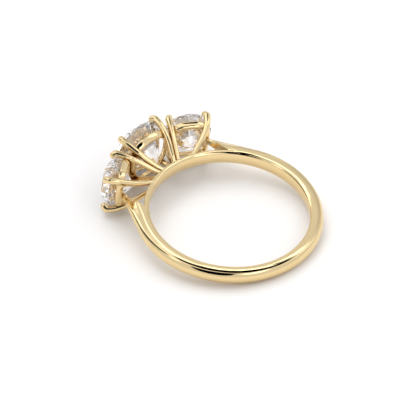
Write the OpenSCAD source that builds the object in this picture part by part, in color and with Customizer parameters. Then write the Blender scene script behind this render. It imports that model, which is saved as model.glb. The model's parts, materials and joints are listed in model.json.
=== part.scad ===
// Three stone ring, lying on its side as it comes to rest by itself.
// In the ring's own frame the finger hole runs along Z and the stones stand towards +Y.
// The whole ring is then tipped about X until the centre stone and the back of the band touch z = 0.

/* [Band] */
// Inside diameter of the band, where the finger goes
finger_d = 17; // [15:0.1:21]
// Width of the band along the finger
band_w = 1.56; // [1.3:0.02:2]
// Thickness of the band at the back, over its dome
band_t = 1.4; // [1.15:0.05:1.8]
// How much thicker the band is beside the stones than at the back
band_gain = 0.3; // [0:0.05:0.4]
// Height of the domed outer face over its two edges
dome_h = 0.34; // [0.15:0.01:0.45]
// Thickness of the inner rail that runs on under the baskets
rail_t = 0.55; // [0.45:0.05:0.8]

/* [Shoulders] */
// Width of each shoulder at its upper end
shoulder_top_w = 0.6; // [0.5:0.05:0.8]
// Thickness of each shoulder at its upper end
shoulder_t = 0.34; // [0.28:0.02:0.5]
// Angle round the finger from the centre stone to the lower corner of each window
window_deg = 45; // [43:0.5:47]

/* [Stones] */
// Diameter of the centre stone
centre_d = 6.7; // [6.3:0.1:7.1]
// Diameter of each side stone
side_d = 5.36; // [5:0.02:5.7]
// Height of the centre stone's girdle over the finger
centre_h = 4.95; // [4.7:0.05:5.4]
// Outward lean of each side stone
side_lean = 33.5; // [30:0.5:38]
// Gap along the row between neighbouring girdles
stone_gap = 0.06; // [0.04:0.01:0.2]
// Drop from the centre girdle to the nearest point of a side girdle
side_drop = 0.26; // [0.22:0.01:0.5]
// Height of the crown, as a percentage of the stone's diameter
crown_pc = 16.5; // [13:0.5:17]
// Depth of the pavilion, as a percentage of the stone's diameter
pavilion_pc = 43; // [41:0.5:45]
// Width of the table, as a percentage of the stone's diameter
table_pc = 57; // [53:1:62]
// Height of the girdle's rim
girdle_h = 0.12; // [0.08:0.01:0.18]

/* [Prongs] */
// Diameter of a prong at its foot, inside the band's two side faces
foot_d = 0.46; // [0.4:0.02:0.56]
// Diameter of a prong at half its height
prong_d = 0.66; // [0.56:0.02:0.8]
// Diameter of a prong where it grips the girdle
grip_d = 0.78; // [0.68:0.02:0.92]
// Distance from the girdle's edge out to the middle of a prong
grip_out = 0.27; // [0.2:0.01:0.3]
// Height of the claw's end over the girdle
claw_h = 0.42; // [0.36:0.02:0.55]
// How far the claw's end leans in over the crown
claw_in = 0.2; // [0.1:0.02:0.26]
// Angle of the centre prongs from the row of stones
centre_prong_deg = 47; // [43:0.5:50]
// Angle of the side prongs from the row of stones
side_prong_deg = 45; // [42:0.5:48]
// Clearance round each stone in its seat
seat_gap = 0.02; // [0.01:0.005:0.04]

/* [Gallery rails] */
// Height of a gallery rail
gallery_h = 0.72; // [0.5:0.02:0.9]
// Wall of a gallery rail
gallery_t = 0.45; // [0.35:0.05:0.6]
// Distance from the middle of the prongs in to a rail's corners
gallery_in = 0.15; // [0.08:0.01:0.2]
// Drop from the centre girdle to the top of its rail
centre_gallery_drop = 1.18; // [0.95:0.01:1.35]
// Drop from a side girdle to the top of its rail
side_gallery_drop = 0.74; // [0.7:0.01:1]
// How much flatter than round the centre rail is between its corners
centre_gallery_flat = 0.16; // [0:0.02:0.24]
// How much flatter than round a side rail is between its corners
side_gallery_flat = 0.27; // [0:0.01:0.3]

/* [Hidden] */

gold = [0.88, 0.74, 0.45];
crystal = [0.93, 0.93, 0.95];

// sides of a prong's section, of a round cut and of a girdle, and steps round a rail
prong_sides = 12;
fine = 96;
girdle_sides = 32;
rail_steps = 48;
// steps round half the hoop and across its dome
hoop_steps = 22;
dome_steps = 8;
// how far added metal runs into the finger hole before that is cut
overlap = 0.3;

finger_r = finger_d / 2;
rail_r = finger_r + rail_t;
// the outer face is a circle set towards the stones
outer_e = band_gain / 2;
outer_r = finger_r + band_t + outer_e;

centre_r = centre_d / 2;
side_r = side_d / 2;
centre_y = finger_r + centre_h;

// How a prong rises from its foot to its grip, as shares of its height and of its reach
UP = 0;
ALONG = 1;
ACROSS = 2;
PRONG_RISE = [
    [0, 0, 0],
    [0.13, 0.21, 0.12],
    [0.25, 0.38, 0.27],
    [0.38, 0.56, 0.44],
    [0.53, 0.73, 0.63],
    [0.68, 0.86, 0.79],
    [0.84, 0.96, 0.93],
    [1, 1, 1],
];
// How a claw bends over the girdle, as shares of its height and of its lean
IN = 1;
CLAW_BEND = [
    [0.35, 0.05],
    [0.7, 0.4],
    [1, 1],
];
// The claw's round end, as shares of its radius along the prong and across it
BALL_END = [
    [0.5, 0.87],
    [0.87, 0.5],
];

// Foot of each kind of prong: angle round the finger from the centre stone
CENTRE_FOOT_DEG = 5;
INNER_FOOT_DEG = 8.8;
OUTER_FOOT_DEG = 19;
// depth of a foot's middle below the rail's outer face
foot_in = 0.14;
// share of a prong's height at which it has its own diameter, and the power that swells it to the grip
waist = 0.45;
swell = 2;

function turn(a, r) = [r * sin(a), r * cos(a)];
function mix(a, b, t) = a + (b - a) * t;

// Axis, row direction and girdle point of a head that leans by a degrees; side is -1, 0 or 1
side_edge = [centre_r + stone_gap, centre_y - side_drop];
side_mid = side_edge + side_r * [cos(side_lean), -sin(side_lean)];
function lean(side) = side * side_lean;
function head_mid(side) = side == 0 ? [0, centre_y] : [side * side_mid[0], side_mid[1]];
function stone_r(side) = side == 0 ? centre_r : side_r;
// a point of a head: along the row, up the axis from the girdle, and across the band
function head_point(side, along, up, across) =
    let (a = lean(side), m = head_mid(side))
    [m[0] + along * cos(a) + up * sin(a), m[1] - along * sin(a) + up * cos(a), across];

// A prong stands at the end dir = -1 or 1 of its row, and at the edge z = -1 or 1 of the band
function foot_deg(side, dir) =
    side == 0 ? dir * CENTRE_FOOT_DEG : side * (dir == side ? OUTER_FOOT_DEG : INNER_FOOT_DEG);
function foot_point(side, dir, z) =
    let (t = turn(foot_deg(side, dir), rail_r - foot_in))
    [t[0], t[1], z * (band_w - foot_d) / 2];
function prong_deg(side) = side == 0 ? centre_prong_deg : side_prong_deg;
function grip_r(side) = stone_r(side) + grip_out;
// the same foot as seen from the head: along the row, up the axis and across
function foot_in_head(side, dir, z) =
    let (f = foot_point(side, dir, z), m = head_mid(side), a = lean(side), d = [f[0] - m[0], f[1] - m[1]])
    [d[0] * cos(a) - d[1] * sin(a), d[0] * sin(a) + d[1] * cos(a), f[2]];
// one point of a prong below its grip, in its head's own directions
function prong_row(side, dir, z, row) =
    let (f = foot_in_head(side, dir, z), g = grip_r(side), a = prong_deg(side))
    [mix(f[0], dir * g * cos(a), row[ALONG]), mix(f[1], 0, row[UP]), mix(f[2], z * g * sin(a), row[ACROSS])];
function claw_row(side, dir, z, row) =
    let (g = grip_r(side) - claw_in * row[IN], a = prong_deg(side))
    [dir * g * cos(a), claw_h * row[UP], z * g * sin(a)];
function prong_path(side, dir, z) = [
    for (row = PRONG_RISE) let (p = prong_row(side, dir, z, row)) head_point(side, p[0], p[1], p[2]),
    for (row = CLAW_BEND) let (p = claw_row(side, dir, z, row)) head_point(side, p[0], p[1], p[2])
];
function prong_width(up) =
    up < waist
        ? mix(foot_d, prong_d, up / waist)
        : mix(prong_d, grip_d, pow((up - waist) / (1 - waist), swell));
function prong_radii() = [
    for (row = PRONG_RISE) prong_width(row[UP]) / 2,
    for (row = CLAW_BEND) grip_d / 2
];

// Faces over rows of n points each; a closed skin joins its last row to its first
function skin(rows, n, closed) = [
    for (i = [0:rows - (closed ? 1 : 2)], j = [0:n - 1])
        let (a = i * n + j, b = i * n + (j + 1) % n, step = ((i + 1) % rows - i) * n)
        each [[a, a + step, b + step], [a, b + step, b]]
];

// A tube swept along a path with a round end, the same number of sides at each point
function unit(v) = v / norm(v);
function direction(path, i) =
    let (last = len(path) - 1, j = min(i + 1, last), k = max(i - 1, 0))
    unit(path[j] - path[k]);
function ring_at(centre, dir, side_axis, r) =
    let (u = unit(cross(dir, side_axis)), v = cross(dir, u))
    [for (i = [0:prong_sides - 1]) let (a = i * 360 / prong_sides) centre + r * (cos(a) * u + sin(a) * v)];
module sweep(path, radii, side_axis) {
    last = len(path) - 1;
    tip = direction(path, last);
    rings = concat(
        [for (i = [0:last]) ring_at(path[i], direction(path, i), side_axis, radii[i])],
        [for (row = BALL_END)
            ring_at(path[last] + tip * radii[last] * row[0], tip, side_axis, radii[last] * row[1])]
    );
    n = prong_sides;
    count = len(rings);
    points = concat([for (r = rings) each r], [path[0], path[last] + tip * radii[last]]);
    faces = concat(
        skin(count, n, false),
        [for (j = [0:n - 1]) [count * n, j, (j + 1) % n]],
        [for (j = [0:n - 1]) [count * n + 1, (count - 1) * n + (j + 1) % n, (count - 1) * n + j]]
    );
    polyhedron(points, faces);
}

module prong(side, dir, z) {
    sweep(prong_path(side, dir, z), prong_radii(), [cos(lean(side)), -sin(lean(side)), 0]);
}

// Distance of the prongs' middle line from a head's axis, at a drop below its girdle
function rise_at(share, col, i = 1) =
    i >= len(PRONG_RISE) - 1 || PRONG_RISE[i][UP] >= share
        ? mix(PRONG_RISE[i - 1][col], PRONG_RISE[i][col],
            (share - PRONG_RISE[i - 1][UP]) / (PRONG_RISE[i][UP] - PRONG_RISE[i - 1][UP]))
        : rise_at(share, col, i + 1);
function reach_of(side, dir, drop) =
    let (f = foot_in_head(side, dir, 1), share = 1 + drop / f[1],
        p = prong_row(side, dir, 1, [share, rise_at(share, ALONG), rise_at(share, ACROSS)]))
    norm([p[0], p[2]]);
function gallery_drop(side) = side == 0 ? centre_gallery_drop : side_gallery_drop;
function gallery_flat(side) = side == 0 ? centre_gallery_flat : side_gallery_flat;
// radius of a rail's outer face at the angle t round its head: a square with well rounded corners
function gallery_r(side, drop, t) =
    (reach_of(side, 1, drop) + reach_of(side, -1, drop)) / 2 - gallery_in
    - gallery_flat(side) * (1 + cos(4 * t)) / 2;

// Moves a shape that stands round Z to a head, with its girdle at z = 0
module at_head(side) {
    m = head_mid(side);
    translate([m[0], m[1], 0])
        rotate([0, 0, -lean(side)])
            rotate([-90, 0, 0])
                children();
}

module gallery_rail(side) {
    top = gallery_drop(side);
    bottom = top + gallery_h;
    angles = [for (i = [0:rail_steps - 1]) i * 360 / rail_steps];
    rows = [for (t = angles) let (r_top = gallery_r(side, top, t), r_bottom = gallery_r(side, bottom, t)) [
        [r_top - gallery_t, -top],
        [r_top, -top],
        [r_bottom, -bottom],
        [r_bottom - gallery_t, -bottom],
    ]];
    points = [for (i = [0:rail_steps - 1]) for (p = rows[i])
        [p[0] * cos(angles[i]), p[0] * sin(angles[i]), p[1]]];
    at_head(side)
        polyhedron(points, skin(rail_steps, len(rows[0]), true));
}

// Shape of a stone: radius and height of its table, crown corners, girdle and point
function table_r(r) = r * table_pc / 100;
function crown_top(r) = girdle_h / 2 + 2 * r * crown_pc / 100;
function culet(r) = -girdle_h / 2 - 2 * r * pavilion_pc / 100;
// star corners lie in the plane of the two kites beside them
star_pc = 52;
function star_r(r) = mix(table_r(r), r, star_pc / 100);
function star_h(r) = crown_top(r)
    - (star_r(r) * cos(22.5) - table_r(r)) * (crown_top(r) - girdle_h / 2) / (r - table_r(r));
// lower halves reach most of the way down the pavilion
lower_pc = 24;
function lower_r(r) = r * lower_pc / 100;
function lower_h(r) = -girdle_h / 2 + (culet(r) + girdle_h / 2) * (r - lower_r(r) * cos(22.5)) / r;

function ring_of(count, r, h, start) =
    [for (i = [0:count - 1]) [r * cos(start + i * 360 / count), r * sin(start + i * 360 / count), h]];

// Corner numbers: table 0-7, star tips 8-15, upper girdle, lower girdle, pavilion tips, point
module brilliant(r) {
    g = girdle_sides;
    q = g / 8;
    up = 16;
    low = up + g;
    tips = low + g;
    end = tips + 8;
    points = concat(
        ring_of(8, table_r(r), crown_top(r), 0),
        ring_of(8, star_r(r), star_h(r), 22.5),
        ring_of(g, r, girdle_h / 2, 0),
        ring_of(g, r, -girdle_h / 2, 0),
        ring_of(8, lower_r(r), lower_h(r), 22.5),
        [[0, 0, culet(r)]]
    );
    table = [[for (i = [7:-1:0]) i]];
    stars = [for (i = [0:7]) [i, (i + 1) % 8, 8 + i]];
    kites = [for (i = [0:7]) each [[i, 8 + i, up + q * i], [i, up + q * i, 8 + (i + 7) % 8]]];
    upper = [for (i = [0:7], k = [0:q - 1]) [8 + i, up + (q * i + k + 1) % g, up + q * i + k]];
    rim = [for (i = [0:g - 1]) each [
        [up + i, up + (i + 1) % g, low + i],
        [up + (i + 1) % g, low + (i + 1) % g, low + i]
    ]];
    lower = [for (i = [0:7], k = [0:q - 1]) [tips + i, low + q * i + k, low + (q * i + k + 1) % g]];
    mains = [for (i = [0:7]) each [[end, low + q * i, tips + i], [end, tips + (i + 7) % 8, low + q * i]]];
    polyhedron(points, concat(table, stars, kites, upper, rim, lower, mains));
}

// Room for a stone in its prongs: its outline turned round, with the clearance
module seat(r) {
    s = r + seat_gap;
    rotate_extrude($fn = fine)
        polygon([
            [0, culet(r) - 2 * seat_gap],
            [s, -girdle_h / 2 - seat_gap],
            [s, girdle_h / 2 + seat_gap],
            [table_r(r) + seat_gap, crown_top(r) + 2 * seat_gap],
            [0, crown_top(r) + 2 * seat_gap],
        ]);
}

// Upper end of a shoulder's outer line, as shares of the side rail: down its height and in through its wall
top_down = 0.85;
top_in = 0.55;
top_drop = side_gallery_drop + top_down * gallery_h;
top_point = head_point(1, gallery_r(1, top_drop, 0) - top_in * gallery_t, -top_drop, 0);
// that line leaves the outer circle where it is tangent to it
top_far = norm([top_point[0], top_point[1] - outer_e]);
tangent_deg = atan2(top_point[0], top_point[1] - outer_e) + acos(outer_r / top_far);
line_far = outer_r + outer_e * cos(tangent_deg);
top_deg = atan2(top_point[0], top_point[1]);
// the shoulders run on into the rails by this angle
bury_deg = 0.8;

function circle_reach(a) = outer_e * cos(a) + sqrt(pow(outer_r, 2) - pow(outer_e * sin(a), 2));
function outer_reach(a) = a < tangent_deg ? line_far / cos(a - tangent_deg) : circle_reach(a);

// How the band narrows from beside the finger, WAY = 0, to a shoulder's upper end, WAY = 1:
// share of the narrowing along its side face and along its outer edge
WAY = 0;
SIDE = 1;
EDGE = 2;
NARROWING = [
    [0, 0, 0],
    [0.12, 0, 0.04],
    [0.25, 0, 0.1],
    [0.38, 0, 0.17],
    [0.5, 0, 0.25],
    [0.62, 0, 0.36],
    [0.75, 0, 0.48],
    [0.82, 0, 0.68],
    [0.87, 0, 0.88],
    [0.9, 0.1, 0.92],
    [0.94, 0.95, 0.97],
    [1, 1, 1],
];
narrow_deg = 90;
// the side faces lean in over this much of the section below its outer edge, and stay flat beside the rail
leaning = 0.75;
flat_out = 0.05;

// Angle and two half widths of each section of the band, from one shoulder round the back to the other
function half_width(share) = mix(band_w, shoulder_top_w, share) / 2;
shoulder_rows = [
    [top_deg - bury_deg, half_width(1), half_width(1)],
    for (i = [len(NARROWING) - 1:-1:0]) let (row = NARROWING[i])
        [mix(narrow_deg, top_deg, row[WAY]), half_width(row[SIDE]), half_width(row[EDGE])]
];
BAND_ROWS = concat(
    shoulder_rows,
    [for (i = [1:2 * hoop_steps - 1])
        [narrow_deg + i * (180 - narrow_deg) / hoop_steps, half_width(0), half_width(0)]],
    [for (i = [len(shoulder_rows) - 1:-1:0]) let (row = shoulder_rows[i]) [360 - row[0], row[1], row[2]]]
);

// One section of the band: from inside the bore, out along one side, over the dome and back
function dome_ball(half) = (pow(half, 2) + pow(dome_h, 2)) / (2 * dome_h);
function band_section(row) =
    let (far = outer_reach(min(row[0], 360 - row[0])), edge = far - dome_h, ball = dome_ball(row[2]),
        swing = asin(row[2] / ball), flat = max(rail_r + flat_out, edge - leaning))
    [
        [finger_r - overlap, -row[1]],
        [flat, -row[1]],
        for (i = [0:dome_steps]) let (s = swing * (2 * i / dome_steps - 1))
            [far - ball * (1 - cos(s)), ball * sin(s)],
        [flat, row[1]],
        [finger_r - overlap, row[1]],
    ];

// The band without its inner rail
module band_arc() {
    count = len(BAND_ROWS);
    sections = [for (row = BAND_ROWS) band_section(row)];
    m = len(sections[0]);
    points = [for (i = [0:count - 1]) for (p = sections[i])
        let (t = turn(BAND_ROWS[i][0], p[0])) [t[0], t[1], p[1]]];
    faces = concat(
        [[for (j = [0:m - 1]) j]],
        skin(count, m, false),
        [[for (j = [m - 1:-1:0]) (count - 1) * m + j]]
    );
    polyhedron(points, faces);
}

// The opening between a shoulder, the inner rail and the outer prongs, cut well past the shoulder's end
cut_past_deg = 10;
cut_past = 3;
module window_cut(side) {
    corner = turn(window_deg, rail_r);
    top = [top_point[0], top_point[1]] - shoulder_t * turn(tangent_deg, 1);
    along = unit(top - corner);
    low_r = finger_r - 2 * overlap;
    end_deg = top_deg - cut_past_deg;
    linear_extrude(height = 2 * band_w, center = true)
        on_side(side)
            polygon([
                corner - along * rail_t,
                turn(window_deg - cut_past_deg, low_r),
                turn(end_deg, low_r),
                turn(end_deg, norm(top) + 2 * cut_past),
                top + along * cut_past,
            ]);
}

// Mirrors a shape on the right to the left for side = -1
module on_side(side) {
    mirror([side < 0 ? 1 : 0, 0, 0])
        children();
}

module shoulders_and_hoop() {
    difference() {
        band_arc();
        window_cut(1);
        window_cut(-1);
    }
}

module inner_rail() {
    linear_extrude(height = band_w, center = true)
        circle(r = rail_r, $fn = fine);
}

module basket(side) {
    for (dir = [-1, 1], z = [-1, 1])
        prong(side, dir, z);
    gallery_rail(side);
}

module upright_mount() {
    difference() {
        union() {
            shoulders_and_hoop();
            inner_rail();
            for (side = [-1:1])
                basket(side);
        }
        cylinder(h = 4 * band_w, r = finger_r, center = true, $fn = fine);
        for (side = [-1:1])
            at_head(side)
                seat(stone_r(side));
    }
}

// Resting tilt: the ring touches the floor with its back edge and with the centre girdle or a claw
back_y = outer_e - outer_r + dome_h;
function rest_deg(y, z, r) =
    let (d = [y - back_y, z - band_w / 2]) atan2(d[1], d[0]) + asin(r / norm(d));
rest_tilt = max([
    rest_deg(centre_y - girdle_h / 2, centre_r * cos(180 / girdle_sides), 0),
    for (side = [0, 1], dir = [-1, 1]) for (p = prong_path(side, dir, 1)) rest_deg(p[1], p[2], grip_d / 2)
]);
rest_up = band_w / 2 * cos(rest_tilt) - back_y * sin(rest_tilt);
// the lying ring's ends are the centre stone's table and the dome at the back of the band
front_end = (centre_y + crown_top(centre_r)) * cos(rest_tilt) + table_r(centre_r) * sin(rest_tilt);
back_ball = dome_ball(band_w / 2);
back_end = (outer_r - outer_e - back_ball) * cos(rest_tilt) + back_ball;
rest_back = (back_end - front_end) / 2;

module lying() {
    translate([0, rest_back, rest_up])
        rotate([rest_tilt, 0, 0])
            children();
}

module stone_at(side) {
    color(crystal)
        lying()
            at_head(side)
                rotate([0, 0, 180 / girdle_sides])
                    brilliant(stone_r(side));
}

module mount() {
    color(gold)
        lying()
            upright_mount();
}

module centre_stone() {
    stone_at(0);
}

module left_stone() {
    stone_at(-1);
}

module right_stone() {
    stone_at(1);
}

mount();
centre_stone();
left_stone();
right_stone();
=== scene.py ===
"""Three stone ring: round brilliants in a yellow gold mount, lying on its side on a white table.

The file is laid out as an add-on. Run as a script, it dresses the frame: one operator makes the gold
mount, one cuts the stones and one sets the table, the lights and the camera.
"""

import json
import math

import bmesh
import bpy
import numpy as np
from bpy.props import FloatProperty, FloatVectorProperty, IntProperty, PointerProperty
from mathutils import Matrix, Vector


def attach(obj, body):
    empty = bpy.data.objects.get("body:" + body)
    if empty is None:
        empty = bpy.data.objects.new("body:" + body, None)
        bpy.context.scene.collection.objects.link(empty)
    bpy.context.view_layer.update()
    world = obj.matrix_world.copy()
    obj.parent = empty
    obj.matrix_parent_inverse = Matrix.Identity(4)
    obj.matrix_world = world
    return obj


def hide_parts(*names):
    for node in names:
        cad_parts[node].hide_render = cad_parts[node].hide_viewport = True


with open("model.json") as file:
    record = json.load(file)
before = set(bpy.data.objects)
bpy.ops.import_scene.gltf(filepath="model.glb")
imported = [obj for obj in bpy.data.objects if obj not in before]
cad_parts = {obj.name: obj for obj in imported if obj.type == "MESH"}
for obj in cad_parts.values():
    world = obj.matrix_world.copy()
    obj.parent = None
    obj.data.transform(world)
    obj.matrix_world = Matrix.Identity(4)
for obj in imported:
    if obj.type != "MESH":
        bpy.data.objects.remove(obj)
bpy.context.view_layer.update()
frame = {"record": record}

bl_info = {
    "name": "Three Stone Ring",
    "version": (1, 0, 0),
    "blender": (4, 5, 0),
    "location": "3D View > Sidebar > Ring",
    "description": "Dresses a three stone ring in polished gold and cut stones",
    "category": "Add Mesh",
}

MM = 0.001
FINGER_HOLE = next(m for m in frame["record"]["mounts"] if m["name"] == "finger_hole")
FINGER_R = FINGER_HOLE["dims"]["r_mm"] * MM
BAND_W = FINGER_HOLE["dims"]["length_mm"] * MM

# The stones, by node: on the left, in the middle and on the right of the row
STONES = {"left_stone": -1, "centre_stone": 0, "right_stone": 1}
ENDS = (-1, 1)

# How a prong rises from its foot to its grip, as shares of its height, of its reach along the row
# and of its reach across it
PRONG_RISE = (
    (0, 0, 0),
    (0.13, 0.21, 0.12),
    (0.25, 0.38, 0.27),
    (0.38, 0.56, 0.44),
    (0.53, 0.73, 0.63),
    (0.68, 0.86, 0.79),
    (0.84, 0.96, 0.93),
    (1, 1, 1),
)
# How a claw bends over the girdle, as shares of its height and of its lean
CLAW_BEND = (
    (0.35, 0.05),
    (0.7, 0.4),
    (1, 1),
)
# How the band narrows from beside the finger to a shoulder's upper end: share of the way,
# share of the narrowing along the side face and along the outer edge
NARROWING = (
    (0, 0, 0),
    (0.12, 0, 0.04),
    (0.25, 0, 0.1),
    (0.38, 0, 0.17),
    (0.5, 0, 0.25),
    (0.62, 0, 0.36),
    (0.75, 0, 0.48),
    (0.82, 0, 0.68),
    (0.87, 0, 0.88),
    (0.9, 0.1, 0.92),
    (0.94, 0.95, 0.97),
    (1, 1, 1),
)

# Where a shoulder's top ends in its side rail, as shares of the rail's height down and of its wall in
SHOULDER_DOWN, SHOULDER_IN = 0.85, 0.55
# How far the hoop reaches in past a shoulder's top, as an angle round the finger
HOOP_PAST = math.radians(0.8)
# Metal left inside the finger's line for the bore to cut
SPARE = 0.15 * MM
# How softly a side of the band starts to lean, and how far outside the inner rail that is at the least
LEAN_SOFT, LEAN_CLEAR = 0.5, 0.05 * MM
# How much narrower than the hoop the inner rail is at each side, and the share of its thickness where it widens
RAIL_HAIR, RAIL_CROWN = 0.002 * MM, 0.6
# How far the inner rail runs on past a window's corner, as an angle round the finger
RAIL_PAST = math.radians(4)
# How far below the full width the hole's bevel ends, as a share of the side crown, and how far its cutter
# runs on outside
BORE_CROWN, BORE_PAST = 0.6, 0.3 * MM
# How far a window's cutter reaches below the corners, past the shoulder and into the finger hole
WINDOW_BELOW, WINDOW_PAST, WINDOW_IN = math.radians(10), 3 * MM, 0.6 * MM

# Points and steps of the finely divided forms
FACE_POINTS, DOME_POINTS = 16, 19
BEVEL_POINTS, BORE_STEPS = 8, 720
RAIL_POINTS, TUBE_END, SEAT_STEPS = 32, 10, 96
# A round brilliant's parts round its axis, and the steps of the girdle along each half facet
PARTS, HALF_STEPS = 8, 4
# Edges turned by more than this stay sharp
SHARP = math.radians(35)

# How dense the patterns are, per metre: along the radius, the height and the way round the finger
WAVES = (1500, 1500, 220)
POLISH_LINES = (4200, 4200, 350)
# The same in every direction
WEAR, STONE_POLISH, TABLE_GRAIN = 2400, 900, 60
# How open a spot of the gold is where it gets the full painted shade and where it gets none, and the rays that
# find it
SHADED, UNSHADED, SHADE_RAYS = 0.25, 0.8, 8
# Roughness of the stones and of the table, and how much their patterns add to it
STONE_ROUGH, STONE_UNEVEN = 0.004, 0.01
TABLE_ROUGH, TABLE_UNEVEN = 0.6, 0.05
# The table's darker tint as a share of its colour, and its specular level
TABLE_SHADE, TABLE_SHINE = 0.99, 0.2

# Patches of the white surroundings, in degrees: azimuth from the centre stone's side, elevation and tilt,
# then width as a share of the height, half height of the full part and with its soft edge, and brightness
SKY = (
    # Broad tones
    (46, 10, 0, 5, 10, 20, 0.7),
    (-10, 40, 0, 0.4, 16, 28, 1.7),
    (115, 45, 0, 0.4, 16, 28, 1.75),
    (46, 80, 0, 1.5, 18, 27, 1.25),
    # Highlights, a calmer spot among them, and the streak along the side face
    (-172, 42, 0, 1, 12, 17, 2.3),
    (-70, 42, 0, 0.8, 8, 14, 1.8),
    (70, 40, 0, 1.3, 5, 9, 0.66),
    (52, 53, 0, 6, 1.2, 3, 2.3),
    # Dark: the far crease, the near crease and the prongs twice, the left crease with the hole's far edge
    (76, 66.5, 0, 1.2, 11.5, 13.5, 0),
    (-122, 39, 0, 1.05, 17, 21, 0),
    (-152, 60, 0, 1.3, 12, 16, 0),
    (-38, 28, 35, 3, 8, 12, 0.16),
)
# The soft lamps: name, place, width and power
LAMPS = (
    ("softbox", (0.15, 0.25, 0.6), 0.6, 1.3),
    ("overhead", (0, 0, 0.7), 1.2, 1.15),
)
TABLE_REACH = 1.5
LIGHT_BOUNCES = 24
CAMERA_SENSOR = 36
CAMERA_CLIP = (0.01, 10)


def length(name, description, millimetres):
    return FloatProperty(
        name=name, description=description, default=millimetres * MM, min=0, precision=5, unit="LENGTH"
    )


def offset(name, description, millimetres):
    return FloatProperty(
        name=name, description=description, default=millimetres * MM, precision=5, unit="LENGTH"
    )


def angle(name, description, degrees):
    radians = math.radians(degrees)
    return FloatProperty(name=name, description=description, default=radians, subtype="ANGLE")


def share(name, description, value):
    return FloatProperty(
        name=name, description=description, default=value, min=0, max=1, subtype="FACTOR"
    )


def number(name, description, value):
    return FloatProperty(name=name, description=description, default=value, min=0)


def colour(name, description, value):
    return FloatVectorProperty(
        name=name, description=description, default=value, size=3, min=0, subtype="COLOR"
    )


class RingSizes(bpy.types.PropertyGroup):
    """Sizes of the band, the stones, the prongs and the rails"""

    band_t: length("Band thickness", "Thickness of the band at the back", 1.4)
    band_gain: length("Band gain", "How much thicker the band is beside the stones", 0.3)
    dome_h: length("Dome height", "Height of the domed outer face over its edges", 0.36)
    rail_t: length("Inner rail", "Thickness of the rail that runs on under the baskets", 0.55)
    side_crown: length("Side crown", "How much each side face of the band is crowned", 0.04)
    edge_round: length("Edge rounding", "Radius of the inner rail's polished edges", 0.09)
    bore_soft: length("Hole bevel", "Width of the soft bevel along the finger hole's edges", 0.16)
    bore_turn: angle("Hole bevel turn", "Turn of the bevel where it meets the hole and the side face", 28)
    crease_round: length("Crease rounding", "Radius between the side faces and the dome", 0.07)
    shoulder_top_w: length("Shoulder width", "Width of each shoulder at its upper end", 0.6)
    shoulder_t: length("Shoulder thickness", "Thickness of each shoulder at its upper end", 0.34)
    window_angle: angle("Window corner", "Angle round the finger to each window's lower corner", 45)
    narrow_angle: angle("Narrowing start", "Angle round the finger where the band starts to narrow", 90)
    leaning: length("Leaning side", "How much of the section leans in below the outer edge", 0.75)

    centre_d: length("Centre stone", "Diameter of the centre stone", 6.7)
    side_d: length("Side stones", "Diameter of each side stone", 5.36)
    centre_h: length("Centre height", "Height of the centre girdle over the finger", 4.95)
    side_lean: angle("Side lean", "Outward lean of each side stone", 33.5)
    stone_gap: length("Stone gap", "Gap along the row between neighbouring girdles", 0.06)
    side_drop: length("Side drop", "Drop from the centre girdle to a side girdle's near point", 0.26)
    crown: share("Crown height", "Crown height as a share of the diameter", 0.165)
    pavilion: share("Pavilion depth", "Pavilion depth as a share of the diameter", 0.43)
    table: share("Table width", "Table width as a share of the diameter", 0.57)
    star: share("Star length", "Reach of the stars from the table to the girdle", 0.52)
    lower: share("Lower tips", "Radius of the lower halves' tips as a share of the stone's", 0.24)
    girdle_h: length("Girdle", "Height of the girdle's rim", 0.12)

    foot_d: length("Prong foot", "Diameter of a prong at its foot", 0.46)
    prong_d: length("Prong", "Diameter of a prong", 0.66)
    grip_d: length("Prong grip", "Diameter of a prong where it grips the girdle", 0.78)
    waist: share("Prong waist", "Share of a prong's height where it has its own diameter", 0.45)
    foot_in: length("Foot depth", "Depth of a foot's middle below the inner rail's face", 0.14)
    grip_out: length("Grip distance", "Distance from the girdle's edge to a prong's middle", 0.27)
    claw_h: length("Claw height", "Height of a claw's end over the girdle", 0.42)
    claw_in: length("Claw lean", "How far a claw's end leans in over the crown", 0.2)
    centre_prong: angle("Centre prongs", "Angle of the centre prongs from the row", 47)
    side_prong: angle("Side prongs", "Angle of the side prongs from the row", 45)
    centre_foot: angle("Centre feet", "Angle round the finger of the centre prongs' feet", 5)
    inner_foot: angle("Inner feet", "Angle round the finger of the side stones' inner feet", 8.8)
    outer_foot: angle("Outer feet", "Angle round the finger of the side stones' outer feet", 19)
    seat_gap: length("Seat clearance", "Clearance round each stone in its seat", 0.02)

    gallery_h: length("Rail height", "Height of a gallery rail", 0.72)
    gallery_t: length("Rail wall", "Wall of a gallery rail", 0.45)
    gallery_in: length("Rail inset", "Distance from the prongs' middle in to a rail's corners", 0.15)
    gallery_square: number("Rail squareness", "Gallery rail's section, from 2, an oval, towards a square", 2.7)
    centre_drop: length("Centre rail drop", "Drop from the centre girdle to its rail", 1.18)
    side_rail_drop: length("Side rail drop", "Drop from a side girdle to its rail", 0.74)
    centre_flat: length("Centre rail flatness", "How much flatter than round the centre rail is", 0.16)
    side_flat: length("Side rail flatness", "How much flatter than round a side rail is", 0.27)

    band_steps: IntProperty(name="Band steps", description="Sections round the band", default=300, min=24)
    tube_sides: IntProperty(name="Prong sides", description="Points round a prong", default=28, min=8)
    tube_steps: IntProperty(name="Prong steps", description="Sections along a prong", default=54, min=8)
    rail_steps: IntProperty(name="Rail steps", description="Sections round a rail", default=144, min=16)


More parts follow.
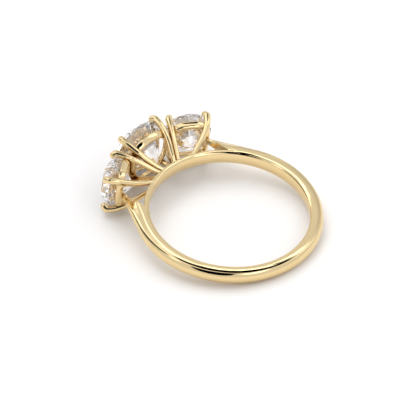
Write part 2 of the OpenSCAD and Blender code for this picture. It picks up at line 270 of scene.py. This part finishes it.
class RingFinish(bpy.types.PropertyGroup):
    """Colours and polish of the gold and of the stones"""

    gold: colour("Gold", "Colour of the polished gold", (0.868, 0.68, 0.375))
    gold_deep: colour("Deep gold", "Colour of the gold where it is a little richer", (0.828, 0.632, 0.325))
    gold_rough: share("Gold roughness", "Roughness of the best polished gold", 0.025)
    gold_wear: share("Gold wear", "How much rougher the gold gets where it is worn", 0.04)
    wave_depth: number("Waves", "Depth of the slow waves in the gold, in millimetres", 0.025)
    line_depth: number("Polish lines", "Depth of the fine polish lines, in millimetres", 0.006)
    # Painted shade: the deep brown that the gold is painted in its enclosed corners and crevices, and how far
    # from a corner it reaches
    crevice_shade: colour("Gold in painted shade", "Colour painted on the gold as shade in its corners and crevices", (0.36, 0.17, 0.035))
    crevice_shade_reach: length("Painted shade reach", "How far from a corner the painted shade reaches", 1.5)
    stone: colour("Stone", "Tint of the light through a stone", (1, 0.972, 0.933))
    stone_ior: number("Refraction", "Refractive index of the stones", 2.42)


class StudioSettings(bpy.types.PropertyGroup):
    """Camera, lights and table"""

    camera_azimuth: angle("Camera azimuth", "Camera's angle round the finger hole", -50.16)
    camera_elevation: angle("Camera elevation", "Camera's angle over the plane of the band", 43.78)
    camera_roll: angle("Camera roll", "Camera's roll about its line of sight", 5.68)
    camera_distance: length("Camera distance", "Distance from the camera to the ring", 600)
    camera_lens: number("Lens", "Focal length on the sensor, in millimetres", 513.5)
    aim_right: offset("Aim right", "Where the camera aims, to the right of the finger hole's middle", -3.1018)
    aim_up: offset("Aim up", "Where the camera aims, above the finger hole's middle", 1.4764)
    table: colour("Table", "Colour of the table top", (0.935, 0.908, 0.866))
    sky: number("Sky", "Brightness of the white surroundings", 0.86)
    sky_tint: colour("Sky tint", "Colour of the white surroundings", (0.975, 1, 1.07))


def sizes():
    return bpy.context.scene.ring_sizes


def finish():
    return bpy.context.scene.ring_finish


def studio():
    return bpy.context.scene.ring_studio


def mix(a, b, t):
    return a + (b - a) * t


def ring_matrix():
    """The lying ring's own directions: Z along the finger hole, +Y towards the centre stone."""
    z = Vector(FINGER_HOLE["axis"]).normalized()
    x = Vector((1, 0, 0))
    matrix = Matrix((x, z.cross(x), z)).transposed().to_4x4()
    matrix.translation = FINGER_HOLE["pos_m"]
    return matrix


def add_mesh(name, points, faces, matrix=None):
    """A new object at the origin, its points moved by the matrix."""
    data = bpy.data.meshes.new(name)
    data.from_pydata([tuple(p) for p in points], [], faces)
    data.transform(matrix or Matrix())
    data.validate()
    data.update()
    made = bpy.data.objects.new(name, data)
    bpy.context.scene.collection.objects.link(made)
    return made


def skin(rows, closed):
    """Points and faces over rows of as many points each; an open skin gets a cap at both ends."""
    rows = np.array(rows, float)
    count, n = rows.shape[:2]
    faces = []
    for i in range(count if closed else count - 1):
        a, b = i * n, (i + 1) % count * n
        faces += [(a + j, a + (j + 1) % n, b + (j + 1) % n, b + j) for j in range(n)]
    if not closed:
        faces += [tuple(range(n))[::-1], tuple((count - 1) * n + j for j in range(n))]
    return rows.reshape(-1, 3), faces


def rounded(corners, radii, steps=4, most=0.45):
    """A closed outline with an arc of its own radius at each corner, over at most a share of its sides."""
    corners = np.array(corners, float)
    outline = []
    for i, (corner, radius) in enumerate(zip(corners, radii)):
        back, ahead = corners[i - 1] - corner, corners[(i + 1) % len(corners)] - corner
        reach_back, reach_ahead = np.linalg.norm(back), np.linalg.norm(ahead)
        back, ahead = back / reach_back, ahead / reach_ahead
        half = math.acos(float(np.clip(back @ ahead, -1, 1))) / 2
        if not radius:
            outline.append(corner)
            continue
        tangent = min(radius / math.tan(half), most * reach_back, most * reach_ahead)
        radius = tangent * math.tan(half)
        middle = (back + ahead) / np.linalg.norm(back + ahead)
        centre = corner + middle * radius / math.sin(half)
        start, end = corner + back * tangent - centre, corner + ahead * tangent - centre
        swing = math.pi - 2 * half
        for k in range(steps + 1):
            t = k / steps
            a, b = math.sin((1 - t) * swing), math.sin(t * swing)
            outline.append(centre + (start * a + end * b) / math.sin(swing))
    return outline


def bridge(a, toward_a, b, toward_b, steps=8, pull=0.37):
    """Points of a soft corner between a and b, which it leaves along the two directions."""
    a, b = np.array(a), np.array(b)
    handle = pull * np.linalg.norm(b - a)
    p = [a, a + handle * np.array(toward_a), b + handle * np.array(toward_b), b]
    t = np.linspace(0, 1, steps + 2)[1:-1, None]
    return list((1 - t) ** 3 * p[0] + 3 * t * (1 - t) ** 2 * p[1] + 3 * t**2 * (1 - t) * p[2] + t**3 * p[3])


def smooth_path(points, steps):
    """Catmull-Rom points through the given ones, each with its other values."""
    points = np.array(points, float)
    ends = np.vstack([2 * points[0] - points[1], points, 2 * points[-1] - points[-2]])
    made = []
    for s in np.linspace(0, len(points) - 1, steps):
        i = min(int(s), len(points) - 2)
        t = s - i
        p = ends[i : i + 4]
        made.append(
            0.5 * (2 * p[1] + (p[2] - p[0]) * t + (2 * p[0] - 5 * p[1] + 4 * p[2] - p[3]) * t**2
                   + (3 * p[1] - p[0] - 3 * p[2] + p[3]) * t**3)
        )
    return np.array(made)


class Head:
    """One basket with its stone: side is -1, 0 or 1 along the row."""

    def __init__(self, side):
        s = sizes()
        self.side = side
        self.radius = (s.side_d if side else s.centre_d) / 2
        self.prong_angle = s.side_prong if side else s.centre_prong
        self.rail_drop = s.side_rail_drop if side else s.centre_drop
        self.rail_flat = s.side_flat if side else s.centre_flat
        lean = side * s.side_lean
        self.row = Vector((math.cos(lean), -math.sin(lean), 0))
        self.up = Vector((math.sin(lean), math.cos(lean), 0))
        self.middle = Vector((0, FINGER_R + s.centre_h, 0))
        if side:
            edge = Vector((side * (s.centre_d / 2 + s.stone_gap), self.middle.y - s.side_drop, 0))
            self.middle = edge + side * self.radius * self.row
        self.matrix = Matrix((self.row, (0, 0, -1), self.up)).transposed().to_4x4()
        self.matrix.translation = self.middle

    def foot(self, end, edge):
        """A prong's foot in the head's own directions, for its end of the row and its edge of the band."""
        s = sizes()
        if self.side:
            turned = self.side * (s.outer_foot if end == self.side else s.inner_foot)
        else:
            turned = end * s.centre_foot
        r = FINGER_R + s.rail_t - s.foot_in
        point = Vector((r * math.sin(turned), r * math.cos(turned), edge * (BAND_W - s.foot_d) / 2))
        return self.matrix.inverted() @ point

    def prong_point(self, end, edge, row):
        """Point of a prong between its foot and its grip, for one row of the rise."""
        foot, grip = self.foot(end, edge), self.radius + sizes().grip_out
        return Vector((
            mix(foot.x, end * grip * math.cos(self.prong_angle), row[1]),
            mix(foot.y, -edge * grip * math.sin(self.prong_angle), row[2]),
            mix(foot.z, 0, row[0]),
        ))

    def prong(self, end, edge):
        """Middle line of a prong with its claw, each point with the radius there."""
        s = sizes()
        path = []
        for row in PRONG_RISE:
            if row[0] < s.waist:
                d = mix(s.foot_d, s.prong_d, row[0] / s.waist)
            else:
                d = mix(s.prong_d, s.grip_d, ((row[0] - s.waist) / (1 - s.waist)) ** 2)
            path.append((*self.prong_point(end, edge, row), d / 2))
        for up, lean in CLAW_BEND:
            grip = self.radius + s.grip_out - s.claw_in * lean
            along, across = end * math.cos(self.prong_angle), -edge * math.sin(self.prong_angle)
            path.append((grip * along, grip * across, s.claw_h * up, s.grip_d / 2))
        return path

    def reach(self, drop):
        """Mean distance of the prongs' middle lines from the head's axis, at a drop below the girdle."""
        found = []
        for end in ENDS:
            up = 1 + drop / self.foot(end, 1).z
            ups, alongs, acrosses = zip(*PRONG_RISE)
            row = (up, np.interp(up, ups, alongs), np.interp(up, ups, acrosses))
            found.append(self.prong_point(end, 1, row).xy.length)
        return sum(found) / len(found)

    def rail_radius(self, drop, turned):
        """Radius of the gallery rail's outer face: a square with well rounded corners."""
        flat = self.rail_flat * (1 + math.cos(4 * turned)) / 2
        return self.reach(drop) - sizes().gallery_in - flat


def tube(name, path, matrix, side_axis):
    """A round wire along the path, with a round end."""
    s = sizes()
    line = smooth_path(path, s.tube_steps)
    points, radii = line[:, :3], line[:, 3]
    heads = np.gradient(points, axis=0)
    heads /= np.linalg.norm(heads, axis=1)[:, None]
    end, end_r, ahead = points[-1], radii[-1], heads[-1]
    for a in np.radians(np.linspace(0, 90, TUBE_END)[1:-1]):
        points = np.vstack([points, end + ahead * end_r * math.sin(a)])
        radii = np.append(radii, end_r * math.cos(a))
        heads = np.vstack([heads, ahead])
    rows = []
    for centre, r, head in zip(points, radii, heads):
        u = np.cross(head, side_axis)
        u /= np.linalg.norm(u)
        v = np.cross(head, u)
        turns = np.arange(s.tube_sides) * 2 * math.pi / s.tube_sides
        rows.append(centre + r * (np.outer(np.cos(turns), u) + np.outer(np.sin(turns), v)))
    made, faces = skin(rows, closed=False)
    return add_mesh(name, made, faces, matrix)


def gallery_rail(head):
    """The rail that ties a basket's prongs together under its stone."""
    s = sizes()
    top, bottom = head.rail_drop, head.rail_drop + s.gallery_h
    around = np.arange(RAIL_POINTS) * 2 * math.pi / RAIL_POINTS
    out, over = (np.sign(v) * np.abs(v) ** (2 / s.gallery_square) for v in (np.cos(around), np.sin(around)))
    rows = []
    for turned in np.arange(s.rail_steps) * 2 * math.pi / s.rail_steps:
        r = mix(head.rail_radius(bottom, turned), head.rail_radius(top, turned), (1 + over) / 2)
        r += (out - 1) * s.gallery_t / 2
        z = mix(-bottom, -top, (1 + over) / 2)
        rows.append(np.stack([r * math.cos(turned), r * math.sin(turned), z], axis=1))
    points, faces = skin(rows, closed=True)
    return add_mesh("rail", points, faces, head.matrix)


class Band:
    """The hoop and its rising shoulders, worked out from the sizes and from the side basket's rail."""

    def __init__(self):
        s = sizes()
        head = Head(1)
        top_drop = s.side_rail_drop + SHOULDER_DOWN * s.gallery_h
        top_r = head.rail_radius(top_drop, 0) - SHOULDER_IN * s.gallery_t
        self.offset = s.band_gain / 2
        self.outer_r = FINGER_R + s.band_t + self.offset
        self.top = head.matrix @ Vector((top_r, 0, -top_drop))
        far = math.hypot(self.top.x, self.top.y - self.offset)
        self.tangent = math.atan2(self.top.x, self.top.y - self.offset) + math.acos(self.outer_r / far)
        self.line_far = self.outer_r + self.offset * math.cos(self.tangent)
        self.top_angle = math.atan2(self.top.x, self.top.y)
        self.start = self.top_angle - HOOP_PAST

    def outer(self, a):
        """Radius of the outer face at the angle a from the centre stone, straight up the shoulder."""
        if a < self.tangent:
            return self.line_far / math.cos(a - self.tangent)
        return self.offset * math.cos(a) + math.sqrt(self.outer_r**2 - (self.offset * math.sin(a)) ** 2)

    def half_widths(self, a):
        """Half the band's width at an angle, along its side face and along its outer edge."""
        s = sizes()
        way = np.clip((s.narrow_angle - a) / (s.narrow_angle - self.top_angle), 0, 1)
        ways, sides, edges = zip(*NARROWING)
        return [mix(BAND_W, s.shoulder_top_w, np.interp(way, ways, share)) / 2 for share in (sides, edges)]

    def section(self, turned):
        """Outline of the band at an angle, as radius and height: bore, side, dome and side."""
        s = sizes()
        a = min(turned, 2 * math.pi - turned)
        far, (side, edge_w) = self.outer(a), self.half_widths(a)
        edge, low = far - s.dome_h, FINGER_R - SPARE
        flat = max(FINGER_R + s.rail_t + LEAN_CLEAR, edge - s.leaning)
        edge_w -= s.side_crown * (edge_w / BAND_W * 2) ** 2
        face = []
        for r in np.linspace(low, edge - s.crease_round, FACE_POINTS):
            bend = max(0, (r - flat) / (edge - flat))
            bend = bend**2 / 2 / LEAN_SOFT if bend < LEAN_SOFT else bend - LEAN_SOFT / 2
            across = 2 * (r - FINGER_R) / (edge - FINGER_R) - 1
            z = mix(side, edge_w + s.side_crown, bend / (1 - LEAN_SOFT / 2)) - s.side_crown * across**2
            face.append((r, z))
        ball = (edge_w**2 + s.dome_h**2) / (2 * s.dome_h)
        swing = math.asin(edge_w / ball) - s.crease_round / ball
        turns = np.linspace(swing, -swing, DOME_POINTS)
        dome = [(far - ball * (1 - math.cos(t)), ball * math.sin(t)) for t in turns]
        slope = np.subtract(face[-1], face[-2])
        slope /= np.linalg.norm(slope)
        crease = bridge(face[-1], slope, dome[0], (-math.sin(swing), math.cos(swing)))
        upper = [*face, *crease]
        return [*[(r, -z) for r, z in upper], *dome[::-1], *upper[::-1]]

    def loft(self, name, angles, outline):
        """A solid over the outlines at some angles round the finger."""
        rows = []
        for a in angles:
            rows.append([(r * math.sin(a), r * math.cos(a), z) for r, z in outline(a)])
        points, faces = skin(rows, closed=False)
        return add_mesh(name, points, faces)

    def hoop(self):
        """The hoop with both shoulders, before the windows and the finger hole are cut."""
        angles = np.linspace(self.start, 2 * math.pi - self.start, sizes().band_steps)
        return self.loft("hoop", angles, self.section)

    def inner_rail(self):
        """The thin rail that runs on under the baskets, a hair narrower than the hoop."""
        s = sizes()
        inner, outer = FINGER_R - SPARE, FINGER_R + s.rail_t
        side, low_side = BAND_W / 2 - RAIL_HAIR, BAND_W / 2 - s.side_crown
        corners = [(inner, -low_side), (mix(inner, outer, RAIL_CROWN), -side), (outer, -side)]
        corners += [(r, -z) for r, z in corners[::-1]]
        outline = rounded(corners, [0, 0, s.edge_round, s.edge_round, 0, 0])
        end = s.window_angle + RAIL_PAST
        return self.loft("inner_rail", np.linspace(-end, end, s.band_steps // 3), lambda a: outline)

    def bore(self):
        """Cutter for the finger hole, flared to bevel its edges softly."""
        s = sizes()
        edge, turn = BAND_W / 2 - s.side_crown * BORE_CROWN, s.bore_turn
        arc = s.bore_soft / (math.cos(turn) - math.sin(turn))
        half = []
        for t in np.linspace(turn, math.pi / 2 - turn, BEVEL_POINTS):
            out, down = arc * (math.cos(turn) - math.cos(t)), arc * (math.cos(turn) - math.sin(t))
            half.append((FINGER_R + out, edge - down))
        past = edge + BORE_PAST
        half += [(half[-1][0] + BORE_PAST, past), (FINGER_R / 2, past)]
        outline = [*half[::-1], *[(r, -z) for r, z in half]]
        angles = np.arange(BORE_STEPS) * 2 * math.pi / BORE_STEPS
        rows = [[(r * math.sin(a), r * math.cos(a), z) for r, z in outline] for a in angles]
        points, faces = skin(rows, closed=True)
        return add_mesh("bore", points, faces)

    def window(self, side):
        """Cutter for the opening between a shoulder, the inner rail and the outer prongs."""
        s = sizes()
        corner = self.at(s.window_angle, FINGER_R + s.rail_t)
        top = self.top - s.shoulder_t * self.at(self.tangent, 1)
        along = (top - corner).normalized()
        low, end = FINGER_R - WINDOW_IN, self.top_angle - WINDOW_BELOW
        outline = [
            corner - along * s.rail_t,
            self.at(s.window_angle - WINDOW_BELOW, low),
            self.at(end, low),
            self.at(end, top.length + 2 * WINDOW_PAST),
            top + along * WINDOW_PAST,
        ]
        rows = [[(side * p.x, p.y, z) for p in outline[::side]] for z in (-BAND_W, BAND_W)]
        points, faces = skin(rows, closed=False)
        return add_mesh("window", points, faces)

    @staticmethod
    def at(turned, r):
        """Point at an angle from the centre stone and at a distance from the finger's middle."""
        return Vector((r * math.sin(turned), r * math.cos(turned), 0))


class Cut:
    """Radii and heights of a round brilliant, from its girdle's radius."""

    def __init__(self, radius):
        s = sizes()
        self.r, self.half = radius, s.girdle_h / 2
        self.table_r = radius * s.table
        self.top = self.half + 2 * radius * s.crown
        self.point = -self.half - 2 * radius * s.pavilion
        self.star_r = mix(self.table_r, radius, s.star)
        slope = (self.top - self.half) / (radius - self.table_r)
        near = math.cos(math.pi / PARTS)
        self.star_z = self.top - (self.star_r * near - self.table_r) * slope
        self.tip_r = radius * s.lower
        self.tip_z = -self.half + (self.point + self.half) * (radius - self.tip_r * near) / radius


def ring_points(count, r, z, start=0.0):
    turns = start + np.arange(count) * 2 * math.pi / count
    return [np.array((r * math.cos(t), r * math.sin(t), z)) for t in turns]


def plane_height(a, b, c, x, y):
    """Height of the plane through three points, over x and y."""
    n = np.cross(b - a, c - a)
    return a[2] - (n[0] * (x - a[0]) + n[1] * (y - a[1])) / n[2]


def brilliant(name, radius, matrix):
    """A round brilliant of flat facets: table, stars, kites, halves, a scalloped girdle and mains."""
    cut = Cut(radius)
    g = PARTS * HALF_STEPS * 2
    table = ring_points(PARTS, cut.table_r, cut.top)
    stars = ring_points(PARTS, cut.star_r, cut.star_z, math.pi / PARTS)
    tips = ring_points(PARTS, cut.tip_r, cut.tip_z, math.pi / PARTS)
    rims = []
    for z, far in ((cut.half, stars), (-cut.half, tips)):
        rim = ring_points(g, radius, z)
        for k in range(2 * PARTS):
            a, b = rim[k * HALF_STEPS], rim[(k + 1) * HALF_STEPS % g]
            for j in range(1, HALF_STEPS):
                p = rim[k * HALF_STEPS + j]
                p[2] = plane_height(a, b, far[k // 2], p[0], p[1])
        rims.append(rim)
    points = [*table, *stars, *rims[0], *rims[1], *tips, np.array((0, 0, cut.point))]
    up = 2 * PARTS
    low = up + g
    tip = low + g
    end = tip + PARTS
    faces = [tuple(range(PARTS))]
    for i in range(PARTS):
        ahead, behind = (i + 1) % PARTS, (i - 1) % PARTS
        kite = 2 * HALF_STEPS * i
        faces += [
            (i, PARTS + i, ahead),
            (i, PARTS + behind, up + kite, PARTS + i),
            (end, tip + i, low + kite, tip + behind),
        ]
        for k in (0, HALF_STEPS):
            run = [(kite + k + j) % g for j in range(HALF_STEPS + 1)]
            faces += [(PARTS + i, *[up + j for j in run]), (tip + i, *[low + j for j in run[::-1]])]
    faces += [(up + j, low + j, low + (j + 1) % g, up + (j + 1) % g) for j in range(g)]
    return add_mesh(name, points, faces, matrix)


def seat(head):
    """The room that a stone takes in its prongs, with its clearance."""
    s = sizes()
    cut, gap = Cut(head.radius), s.seat_gap
    outline = [
        (cut.r + gap, -cut.half - gap),
        (cut.r + gap, cut.half + gap),
        (cut.table_r + gap, cut.top + 2 * gap),
    ]
    steps = SEAT_STEPS
    rings = [ring_points(steps, r, z) for r, z in outline]
    points = [p for ring in rings for p in ring] + [np.array((0, 0, cut.point - 2 * gap))]
    faces = [(3 * steps, (j + 1) % steps, j) for j in range(steps)]
    for i in range(2):
        a, b = i * steps, (i + 1) * steps
        faces += [(a + j, a + (j + 1) % steps, b + (j + 1) % steps, b + j) for j in range(steps)]
    faces.append(tuple(2 * steps + j for j in range(steps)))
    return add_mesh("seat", points, faces, head.matrix)


def combine(base, steps):
    """Adds and cuts the other solids one after the other, and leaves one solid."""
    for solid in (base, *(other for _, other in steps)):
        if volume(solid.data) < 0:
            solid.data.flip_normals()
    for operation, other in steps:
        step = base.modifiers.new(other.name, "BOOLEAN")
        step.operation, step.solver, step.object = operation, "MANIFOLD", other
    depsgraph = bpy.context.evaluated_depsgraph_get()
    data = bpy.data.meshes.new_from_object(base.evaluated_get(depsgraph))
    base.modifiers.clear()
    for _, other in steps:
        bpy.data.objects.remove(other)
    base.data = data
    return base


class Socket:
    """A node's output that takes part in plain arithmetic: each step adds a Math node."""

    def __init__(self, nodes, output):
        self.nodes, self.output = nodes, output

    def math(self, operation, *values):
        return self.nodes.add("ShaderNodeMath", {"operation": operation}, dict(enumerate(values)))

    def __add__(self, other):
        return self.math("ADD", self, other)

    def __radd__(self, other):
        return self.math("ADD", other, self)

    def __sub__(self, other):
        return self.math("SUBTRACT", self, other)

    def __rsub__(self, other):
        return self.math("SUBTRACT", other, self)

    def __mul__(self, other):
        return self.math("MULTIPLY", self, other)

    def __rmul__(self, other):
        return self.math("MULTIPLY", other, self)

    def __truediv__(self, other):
        return self.math("DIVIDE", self, other)

    def __rtruediv__(self, other):
        return self.math("DIVIDE", other, self)

    def __pow__(self, other):
        return self.math("POWER", self, other)

    def __rpow__(self, other):
        return self.math("POWER", other, self)


class Nodes:
    """A material's or the world's node tree, emptied and filled from Python."""

    def __init__(self, owner):
        owner.use_nodes = True
        self.tree = owner.node_tree
        self.tree.nodes.clear()

    def add(self, kind, settings=None, inputs=None, output=0):
        """Adds a node: its settings are set first, then the values or links of its sockets."""
        node = self.tree.nodes.new(kind)
        for name, value in (settings or {}).items():
            setattr(node, name, value)
        for name, value in (inputs or {}).items():
            if isinstance(value, Socket):
                self.tree.links.new(value.output, node.inputs[name])
            else:
                node.inputs[name].default_value = value
        return Socket(self, node.outputs[output]) if len(node.outputs) else None

    def noise(self, scale, detail, place=None):
        """Noise from 0 to 1, in the object's own metres where no other place is given."""
        place = place or self.add("ShaderNodeTexCoord", output="Object")
        return self.add("ShaderNodeTexNoise", {}, {"Vector": place, "Scale": scale, "Detail": detail})

    def dot(self, place, ahead):
        """How far a place or a direction lies along another direction."""
        settings = {"operation": "DOT_PRODUCT"}
        return self.add("ShaderNodeVectorMath", settings, {0: place, 1: ahead}, output="Value")

    def round_finger(self, scales):
        """Place as radius, height and way round the finger hole, each times its own scale."""
        turned = ring_matrix()
        place = self.add("ShaderNodeTexCoord", output="Object")
        settings = {"operation": "SUBTRACT"}
        place = self.add("ShaderNodeVectorMath", settings, {0: place, 1: turned.translation})
        x, y, z = (self.dot(place, turned.col[i].xyz) for i in range(3))
        way = self.add("ShaderNodeMath", {"operation": "ARCTAN2"}, {0: x, 1: y})
        radius = (x**2 + y**2) ** 0.5
        return self.add("ShaderNodeCombineXYZ", {}, {
            "X": radius * scales[0], "Y": z * scales[1], "Z": way * (FINGER_R * scales[2]),
        })

    def patch(self, light, azimuth, elevation, tilt, wide, inner, outer, level):
        """The surroundings with a soft-edged patch of another brightness, wider than it is high."""
        a, e, t = math.radians(azimuth), math.radians(elevation), math.radians(tilt)
        ahead = Vector((math.sin(a) * math.cos(e), math.cos(a) * math.cos(e), math.sin(e)))
        side = Matrix.Rotation(t, 3, ahead) @ Vector((math.cos(a), -math.sin(a), 0))
        way = self.add("ShaderNodeTexCoord", output="Generated")
        ahead, side, over = (self.dot(way, v) for v in (ahead, side, side.cross(ahead)))
        off = self.add("ShaderNodeMath", {"operation": "ARCTAN2"}, {
            0: ((side / wide) ** 2 + over**2) ** 0.5, 1: ahead,
        })
        mask = self.ramp(off, math.radians(outer), math.radians(inner))
        return light + (level - light) * mask

    def ramp(self, value, low, high):
        """Soft step from 0 at the low value to 1 at the high one."""
        return self.add("ShaderNodeMapRange", {"interpolation_type": "SMOOTHSTEP"}, {
            "Value": value, "From Min": low, "From Max": high,
        })

    def blend(self, factor, a, b):
        """Colour between a and b."""
        settings = {"data_type": "RGBA"}
        return self.add("ShaderNodeMix", settings, {"Factor": factor, "A": a, "B": b}, output=2)


def volume(mesh):
    shape = bmesh.new()
    shape.from_mesh(mesh)
    found = shape.calc_volume(signed=True)
    shape.free()
    return found


def paint(obj, material):
    obj.data.materials.clear()
    obj.data.materials.append(material)


def rgba(value):
    return (*value, 1.0)


def gold_material():
    """Polished yellow gold: slow waves, fine polish lines round the finger, a little wear, and painted shade
    that turns it deep brown in enclosed corners.
    """
    f = finish()
    material = bpy.data.materials.new("polished_gold")
    nodes = Nodes(material)
    waves = nodes.noise(1, detail=1, place=nodes.round_finger(WAVES))
    lines = nodes.noise(1, detail=2, place=nodes.round_finger(POLISH_LINES))
    marks = nodes.noise(WEAR, detail=3)
    # Painted shade: where ambient occlusion finds the gold enclosed, its colour turns to the deep brown of the
    # corner shade
    settings = {"samples": SHADE_RAYS, "only_local": True}
    openness = nodes.add("ShaderNodeAmbientOcclusion", settings, {"Distance": f.crevice_shade_reach}, output="AO")
    unshaded_tone = nodes.blend(waves, rgba(f.gold), rgba(f.gold_deep))
    tone = nodes.blend(nodes.ramp(openness, SHADED, UNSHADED), rgba(f.crevice_shade), unshaded_tone)
    roughness = f.gold_rough + f.gold_wear * marks
    bump = nodes.add("ShaderNodeBump", {}, {
        "Strength": 1.0, "Distance": MM, "Height": f.wave_depth * waves + f.line_depth * lines,
    })
    shader = nodes.add("ShaderNodeBsdfPrincipled", {}, {
        "Base Color": tone, "Metallic": 1.0, "Roughness": roughness, "Normal": bump,
    })
    nodes.add("ShaderNodeOutputMaterial", {}, {"Surface": shader})
    return material


def stone_material():
    """Clear cut stone: bright facets with the faintest polish marks."""
    f = finish()
    material = bpy.data.materials.new("cut_stone")
    nodes = Nodes(material)
    polish = nodes.noise(STONE_POLISH, detail=2)
    shader = nodes.add("ShaderNodeBsdfPrincipled", {}, {
        "Base Color": rgba(f.stone),
        "Roughness": STONE_ROUGH + STONE_UNEVEN * polish,
        "IOR": f.stone_ior,
        "Transmission Weight": 1.0,
    })
    nodes.add("ShaderNodeOutputMaterial", {}, {"Surface": shader})
    return material


def table_material():
    """Smooth white table top with a trace of unevenness."""
    material = bpy.data.materials.new("white_table")
    nodes = Nodes(material)
    grain = nodes.noise(TABLE_GRAIN, detail=2)
    top = studio().table
    tint = nodes.blend(grain, rgba(top), rgba([c * TABLE_SHADE for c in top]))
    shader = nodes.add("ShaderNodeBsdfPrincipled", {}, {
        "Base Color": tint,
        "Roughness": TABLE_ROUGH + TABLE_UNEVEN * grain,
        "Specular IOR Level": TABLE_SHINE,
    })
    nodes.add("ShaderNodeOutputMaterial", {}, {"Surface": shader})
    return material


def dress(piece, node):
    """Has the piece stand for a node of the frame: hides that node and has the piece ride with the root."""
    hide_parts(node)
    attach(piece, "root")


class RING_OT_mount(bpy.types.Operator):
    """Make the gold mount: band, shoulders, inner rail, prongs and gallery rails as one solid"""

    bl_idname = "ring.mount"
    bl_label = "Gold Mount"

    def execute(self, context):
        band = Band()
        heads = [Head(side) for side in STONES.values()]
        steps = [("DIFFERENCE", band.window(side)) for side in ENDS]
        base = band.hoop()
        steps.append(("UNION", band.inner_rail()))
        for head in heads:
            steps.append(("UNION", gallery_rail(head)))
            steps += [
                ("UNION", tube("prong", head.prong(end, edge), head.matrix, (1, 0, 0)))
                for end in ENDS for edge in ENDS
            ]
        steps += [("DIFFERENCE", band.bore()), *[("DIFFERENCE", seat(head)) for head in heads]]
        mount = combine(base, steps)
        mount.name = "gold_mount"
        mount.data.transform(ring_matrix())
        mount.data.shade_smooth()
        mount.data.set_sharp_from_angle(angle=SHARP)
        paint(mount, gold_material())
        dress(mount, "mount")
        return {"FINISHED"}


class RING_OT_stones(bpy.types.Operator):
    """Cut the round brilliants and set each in its basket"""

    bl_idname = "ring.stones"
    bl_label = "Cut Stones"

    def execute(self, context):
        material = stone_material()
        for node, side in STONES.items():
            head = Head(side)
            stone = brilliant("cut_" + node, head.radius, ring_matrix() @ head.matrix)
            paint(stone, material)
            dress(stone, node)
        return {"FINISHED"}


class RING_OT_studio(bpy.types.Operator):
    """Set the table, the soft lights and the camera"""

    bl_idname = "ring.studio"
    bl_label = "Studio"

    def execute(self, context):
        context.scene.view_settings.view_transform = "Standard"
        cycles = context.scene.cycles
        cycles.max_bounces = cycles.transmission_bounces = cycles.glossy_bounces = LIGHT_BOUNCES
        corners = [(x * TABLE_REACH, y * TABLE_REACH, 0) for x, y in ((-1, -1), (1, -1), (1, 1), (-1, 1))]
        table = add_mesh("table_top", corners, [(0, 1, 2, 3)])
        paint(table, table_material())
        self.sky(context)
        self.lamps(context)
        self.camera(context)
        return {"FINISHED"}

    def sky(self, context):
        world = bpy.data.worlds.new("studio")
        context.scene.world = world
        nodes = Nodes(world)
        s = studio()
        light = s.sky
        for row in SKY:
            light = nodes.patch(light, *row)
        tint = rgba(s.sky_tint)
        background = nodes.add("ShaderNodeBackground", {}, {"Color": tint, "Strength": light})
        nodes.add("ShaderNodeOutputWorld", {}, {"Surface": background})

    def lamps(self, context):
        for name, place, size, power in LAMPS:
            lamp = bpy.data.lights.new(name, "AREA")
            lamp.size, lamp.energy = size, power
            made = bpy.data.objects.new(name, lamp)
            made.location = place
            made.visible_glossy = False
            made.rotation_euler = Vector(place).to_track_quat("Z", "Y").to_euler()
            context.scene.collection.objects.link(made)

    def camera(self, context):
        s = studio()
        a, e = s.camera_azimuth, s.camera_elevation
        back = Vector((math.sin(a) * math.cos(e), -math.cos(a) * math.cos(e), math.sin(e)))
        right = Vector((math.cos(a), math.sin(a), 0))
        right, up = (
            right * math.cos(s.camera_roll) + back.cross(right) * math.sin(s.camera_roll),
            back.cross(right) * math.cos(s.camera_roll) - right * math.sin(s.camera_roll),
        )
        data = bpy.data.cameras.new("camera")
        data.lens, data.sensor_width = s.camera_lens, CAMERA_SENSOR
        data.clip_start, data.clip_end = CAMERA_CLIP
        camera = bpy.data.objects.new("camera", data)
        aim = s.aim_right * right + s.aim_up * up
        matrix = Matrix((right, up, back)).transposed().to_4x4()
        matrix.translation = back * s.camera_distance + aim
        camera.matrix_world = ring_matrix() @ matrix
        context.scene.collection.objects.link(camera)
        context.scene.camera = camera


class RING_PT_panel(bpy.types.Panel):
    """Sidebar panel with the ring's operators, sizes, finish and studio"""

    bl_label = "Three Stone Ring"
    bl_idname = "RING_PT_panel"
    bl_space_type = "VIEW_3D"
    bl_region_type = "UI"
    bl_category = "Ring"

    def draw(self, context):
        for operator in OPERATORS:
            self.layout.operator(operator.bl_idname)
        for name, group in GROUPS.items():
            column = self.layout.column()
            for key in group.__annotations__:
                column.prop(getattr(context.scene, name), key)


GROUPS = {"ring_sizes": RingSizes, "ring_finish": RingFinish, "ring_studio": StudioSettings}
OPERATORS = (RING_OT_mount, RING_OT_stones, RING_OT_studio)
CLASSES = (*GROUPS.values(), *OPERATORS, RING_PT_panel)


def register():
    for cls in CLASSES:
        bpy.utils.register_class(cls)
    for name, group in GROUPS.items():
        setattr(bpy.types.Scene, name, PointerProperty(type=group))


def unregister():
    for name in GROUPS:
        delattr(bpy.types.Scene, name)
    for cls in reversed(CLASSES):
        bpy.utils.unregister_class(cls)


def main():
    register()
    bpy.ops.ring.mount()
    bpy.ops.ring.stones()
    bpy.ops.ring.studio()


if __name__ == "__main__":
    main()
